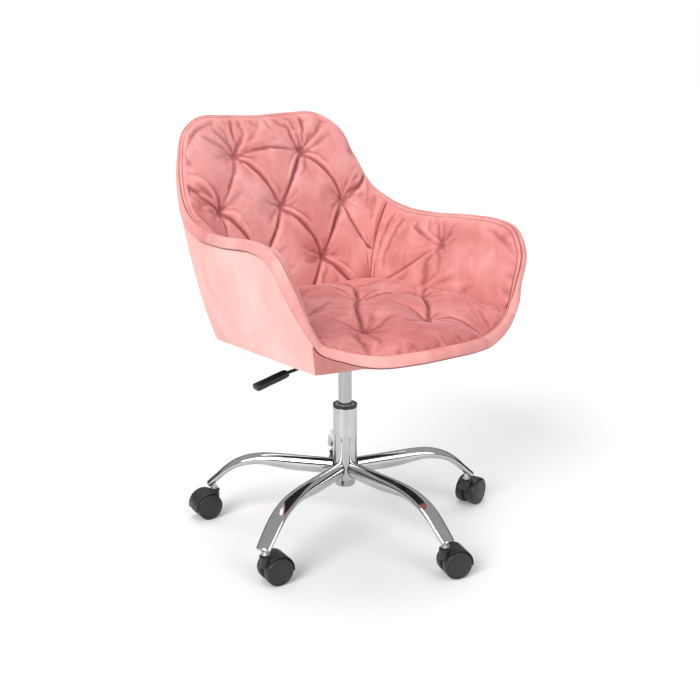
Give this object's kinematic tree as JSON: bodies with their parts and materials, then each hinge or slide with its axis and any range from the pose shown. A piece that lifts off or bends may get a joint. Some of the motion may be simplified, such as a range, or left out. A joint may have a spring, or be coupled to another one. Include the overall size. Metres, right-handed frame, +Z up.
{
  "type": "styling chair",
  "caption": "Swivelling, height-adjustable styling chair with a tufted velvet bucket seat, gas lift, chrome five-leg base and twin-wheel casters.",
  "frame": {"origin": "on the floor under the middle of the bounding box, with the casters at rest as modelled; the column's axis is at x = -27.2 mm, y = -1.4 mm", "axes": "+Z up, -Y towards the front of the seat, +X towards the sitter's left"},
  "size_m": [0.6296, 0.6727, 0.848],
  "materials": {
    "pink_velvet": "dusty-rose short-pile velvet with brushed mottling and tufting creases",
    "polished_chrome": "mirror-polished chrome plate",
    "ground_steel": "centreless-ground and polished",
    "zinc_plated_steel": "satin zinc plate",
    "black_nylon": "fine-textured black moulding",
    "grey_acetal": "satin moulding",
    "black_painted_steel": "satin black powder coat",
    "plywood": "unfinished plywood",
    "black_felt": "non-woven lining"
  },
  "bodies": {
    "base": {"base_hub_tube": "polished_chrome", "base_leg_1": "polished_chrome", "base_leg_2": "polished_chrome", "base_leg_3": "polished_chrome", "base_leg_4": "polished_chrome", "base_leg_5": "polished_chrome", "lift_outer_tube": "ground_steel", "lift_guide_bush": "grey_acetal", "hub_collar": "black_nylon", "thrust_bearing": "ground_steel", "caster_stem_1": "zinc_plated_steel", "caster_stem_2": "zinc_plated_steel", "caster_stem_3": "zinc_plated_steel", "caster_stem_4": "zinc_plated_steel", "caster_stem_5": "zinc_plated_steel"},
    "lift_rod": {"piston_rod": "ground_steel", "retaining_clip": "ground_steel"},
    "seat": {"pressure_cylinder": "ground_steel", "seat_plate": "black_painted_steel", "plate_socket": "black_painted_steel", "seat_bolt_1": "zinc_plated_steel", "seat_bolt_2": "zinc_plated_steel", "seat_bolt_3": "zinc_plated_steel", "seat_bolt_4": "zinc_plated_steel", "seat_board": "plywood", "dust_cover": "black_felt", "frame_bar": "black_painted_steel", "outer_side_left": "pink_velvet", "outer_side_right": "pink_velvet", "outer_back": "pink_velvet", "front_strip": "pink_velvet", "rim_roll": "pink_velvet", "lip_roll": "pink_velvet", "arm_pad_left": "pink_velvet", "arm_pad_right": "pink_velvet", "back_pad": "pink_velvet", "seat_cushion": "pink_velvet"},
    "valve": {"valve_pin": "ground_steel"},
    "lever": {"lever_rod": "black_nylon", "lever_paddle": "black_nylon"},
    "caster_1": {"caster_hood_1": "black_nylon", "caster_axle_1": "zinc_plated_steel"},
    "wheel_1_left": {"caster_wheel_1_left": "black_nylon"},
    "wheel_1_right": {"caster_wheel_1_right": "black_nylon"},
    "caster_2": {"caster_hood_2": "black_nylon", "caster_axle_2": "zinc_plated_steel"},
    "wheel_2_left": {"caster_wheel_2_left": "black_nylon"},
    "wheel_2_right": {"caster_wheel_2_right": "black_nylon"},
    "caster_3": {"caster_hood_3": "black_nylon", "caster_axle_3": "zinc_plated_steel"},
    "wheel_3_left": {"caster_wheel_3_left": "black_nylon"},
    "wheel_3_right": {"caster_wheel_3_right": "black_nylon"},
    "caster_4": {"caster_hood_4": "black_nylon", "caster_axle_4": "zinc_plated_steel"},
    "wheel_4_left": {"caster_wheel_4_left": "black_nylon"},
    "wheel_4_right": {"caster_wheel_4_right": "black_nylon"},
    "caster_5": {"caster_hood_5": "black_nylon", "caster_axle_5": "zinc_plated_steel"},
    "wheel_5_left": {"caster_wheel_5_left": "black_nylon"},
    "wheel_5_right": {"caster_wheel_5_right": "black_nylon"}
  },
  "joints": [
    {"name": "seat_swivel", "type": "hinge", "parent": "base", "child": "lift_rod", "pos_m": [-0.0272, -0.0014, 0.11], "axis": [0, 0, 1], "continuous": true},
    {"name": "seat_height", "type": "slide", "parent": "lift_rod", "child": "seat", "axis": [0, 0, 1], "range_m": [-0.08, 0]},
    {"name": "lever_lift", "type": "hinge", "parent": "seat", "child": "lever", "pos_m": [-0.0472, -0.0014, 0.385], "axis": [0, 1, 0], "range_deg": [0, 10], "stiffness_Nm_per_rad": 1.5, "springref_deg": -5.73},
    {"name": "valve_press", "type": "slide", "parent": "seat", "child": "valve", "axis": [0, 0, -1], "range_m": [0, 0.0036]},
    {"name": "caster_1_swivel", "type": "hinge", "parent": "base", "child": "caster_1", "pos_m": [-0.2961, -0.11776, 0.06], "axis": [0, 0, 1], "continuous": true},
    {"name": "wheel_1_left_roll", "type": "hinge", "parent": "caster_1", "child": "wheel_1_left", "pos_m": [-0.27494, -0.10417, 0.02834], "axis": [0.0802, 0.9968, 0], "continuous": true},
    {"name": "wheel_1_right_roll", "type": "hinge", "parent": "caster_1", "child": "wheel_1_right", "pos_m": [-0.27739, -0.13457, 0.02834], "axis": [0.0802, 0.9968, 0], "continuous": true},
    {"name": "caster_2_swivel", "type": "hinge", "parent": "base", "child": "caster_2", "pos_m": [0.00037, -0.2931, 0.06], "axis": [0, 0, 1], "continuous": true},
    {"name": "wheel_2_left_roll", "type": "hinge", "parent": "caster_2", "child": "wheel_2_left", "pos_m": [0.02375, -0.28383, 0.02834], "axis": [0.2706, 0.9627, 0], "continuous": true},
    {"name": "wheel_2_right_roll", "type": "hinge", "parent": "caster_2", "child": "wheel_2_right", "pos_m": [0.0155, -0.31319, 0.02834], "axis": [0.2706, 0.9627, 0], "continuous": true},
    {"name": "caster_3_swivel", "type": "hinge", "parent": "base", "child": "caster_3", "pos_m": [0.25874, -0.06532, 0.06], "axis": [0, 0, 1], "continuous": true},
    {"name": "wheel_3_left_roll", "type": "hinge", "parent": "caster_3", "child": "wheel_3_left", "pos_m": [0.27305, -0.04463, 0.02834], "axis": [-0.309, 0.9511, 0], "continuous": true},
    {"name": "wheel_3_right_roll", "type": "hinge", "parent": "caster_3", "child": "wheel_3_right", "pos_m": [0.28248, -0.07364, 0.02834], "axis": [-0.309, 0.9511, 0], "continuous": true},
    {"name": "caster_4_swivel", "type": "hinge", "parent": "base", "child": "caster_4", "pos_m": [0.12195, 0.2508, 0.06], "axis": [0, 0, 1], "continuous": true},
    {"name": "wheel_4_left_roll", "type": "hinge", "parent": "caster_4", "child": "wheel_4_left", "pos_m": [0.14555, 0.25949, 0.02834], "axis": [0.294, 0.9558, 0], "continuous": true},
    {"name": "wheel_4_right_roll", "type": "hinge", "parent": "caster_4", "child": "wheel_4_right", "pos_m": [0.13658, 0.23034, 0.02834], "axis": [0.294, 0.9558, 0], "continuous": true},
    {"name": "caster_5_swivel", "type": "hinge", "parent": "base", "child": "caster_5", "pos_m": [-0.22096, 0.21838, 0.06], "axis": [0, 0, 1], "continuous": true},
    {"name": "wheel_5_left_roll", "type": "hinge", "parent": "caster_5", "child": "wheel_5_left", "pos_m": [-0.24169, 0.20413, 0.02834], "axis": [-0.0488, -0.9988, 0], "continuous": true},
    {"name": "wheel_5_right_roll", "type": "hinge", "parent": "caster_5", "child": "wheel_5_right", "pos_m": [-0.2402, 0.23459, 0.02834], "axis": [-0.0488, -0.9988, 0], "continuous": true}
  ],
  "couplings": [
    {"joint": "valve_press", "follows": "lever_lift", "m_per_rad": 0.02}
  ]
}
